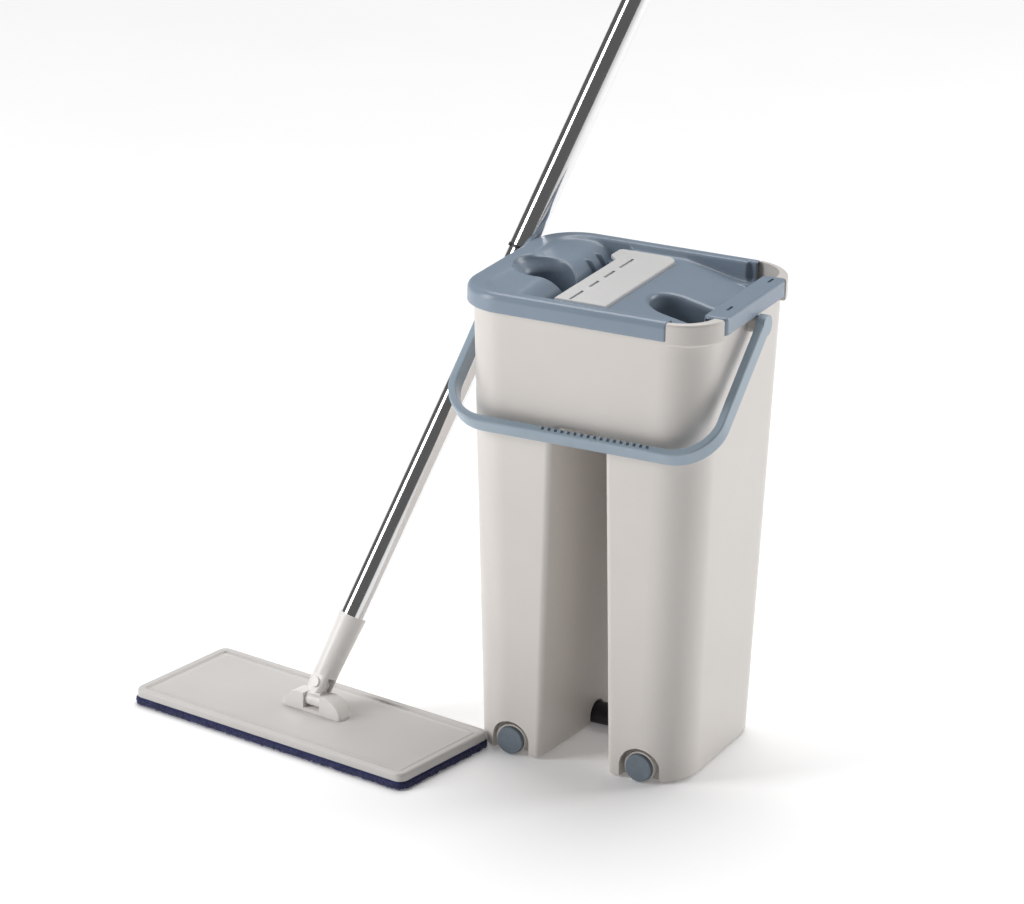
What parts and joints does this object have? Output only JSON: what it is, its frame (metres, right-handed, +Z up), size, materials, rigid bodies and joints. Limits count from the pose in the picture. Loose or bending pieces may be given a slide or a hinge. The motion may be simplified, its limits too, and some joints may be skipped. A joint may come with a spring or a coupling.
{
  "type": "flat mop and self-wringing bucket set",
  "caption": "Flat mop leaning on a tall two-legged bucket with a scraper cover, carrying bail, drain plugs and a floor roller.",
  "frame": {"origin": "on the floor under the middle of the whole set", "axes": "+X to the right along the bucket front, +Y from its front (drain plugs) to its back, +Z up"},
  "size_m": [0.5287, 0.57, 1.0699],
  "materials": {
    "bucket_plastic": "satin warm grey-white",
    "cover_plastic": "satin blue grey",
    "plate_plastic": "satin light grey",
    "plug_rubber": "matt blue grey",
    "black_rubber": "matt",
    "black_plastic": "satin",
    "steel_pin": "brushed",
    "lip_rubber": "matt",
    "mop_plastic": "satin warm grey",
    "hook_tape": "hook tape",
    "microfibre": "looped microfibre",
    "white_plastic": "satin off-white",
    "chrome_tube": "polished"
  },
  "bodies": {
    "root": {"bucket_body": "bucket_plastic", "foot_pads": "black_rubber", "roller_axle": "steel_pin", "cover_tray": "cover_plastic", "scraper_plate": "plate_plastic", "scraper_lip": "lip_rubber", "clip_bar": "cover_plastic", "handle_pin_left": "cover_plastic", "handle_pin_right": "cover_plastic", "drain_gasket_left": "black_rubber", "drain_gasket_right": "black_rubber"},
    "bail": {"carry_handle": "cover_plastic"},
    "roller": {"floor_roller": "black_plastic"},
    "plug_left": {"drain_plug_left": "plug_rubber"},
    "plug_right": {"drain_plug_right": "plug_rubber"},
    "mop_head": {"mop_plate": "mop_plastic", "hook_strips": "hook_tape", "mop_pad": "microfibre", "mop_bracket": "white_plastic", "bracket_screws": "steel_pin", "long_pin": "steel_pin"},
    "swivel": {"swivel_link": "white_plastic", "cross_pin": "steel_pin"},
    "pole_lower": {"connector": "white_plastic", "pin_caps": "white_plastic", "lower_tube": "chrome_tube", "lock_plug": "black_plastic", "lock_cam": "black_plastic"},
    "pole_upper": {"upper_tube": "chrome_tube", "guide_bush": "black_plastic", "hand_grip": "cover_plastic", "end_cap": "cover_plastic"}
  },
  "joints": [
    {"name": "bail_swing", "type": "hinge", "parent": "root", "child": "bail", "pos_m": [0.13765, -0.08044, 0.3955], "axis": [1, 0, 0], "range_deg": [-135, 0]},
    {"name": "roller_spin", "type": "hinge", "parent": "root", "child": "roller", "pos_m": [0.13765, -0.07244, 0.0108], "axis": [1, 0, 0], "continuous": true},
    {"name": "plug_left_pull", "type": "slide", "parent": "root", "child": "plug_left", "axis": [0, -1, 0], "range_m": [0, 0.022]},
    {"name": "plug_right_pull", "type": "slide", "parent": "root", "child": "plug_right", "axis": [0, -1, 0], "range_m": [0, 0.022]},
    {"name": "mop_pull_away", "type": "slide", "parent": "root", "child": "mop_head", "axis": [-1, 0, 0], "range_m": [0, 0.3]},
    {"name": "pole_tilt", "type": "hinge", "parent": "mop_head", "child": "swivel", "pos_m": [-0.10065, -0.19324, 0.0236], "axis": [0.9833, -0.1822, 0], "range_deg": [0, 80]},
    {"name": "pole_swing", "type": "hinge", "parent": "swivel", "child": "pole_lower", "pos_m": [-0.09947, -0.18689, 0.03658], "axis": [0.1631, 0.8802, -0.4456], "range_deg": [-60, 0]},
    {"name": "pole_telescope", "type": "slide", "parent": "pole_lower", "child": "pole_upper", "axis": [0.2504, 0.3999, 0.8817], "range_m": [-0.28, 0.12]}
  ]
}
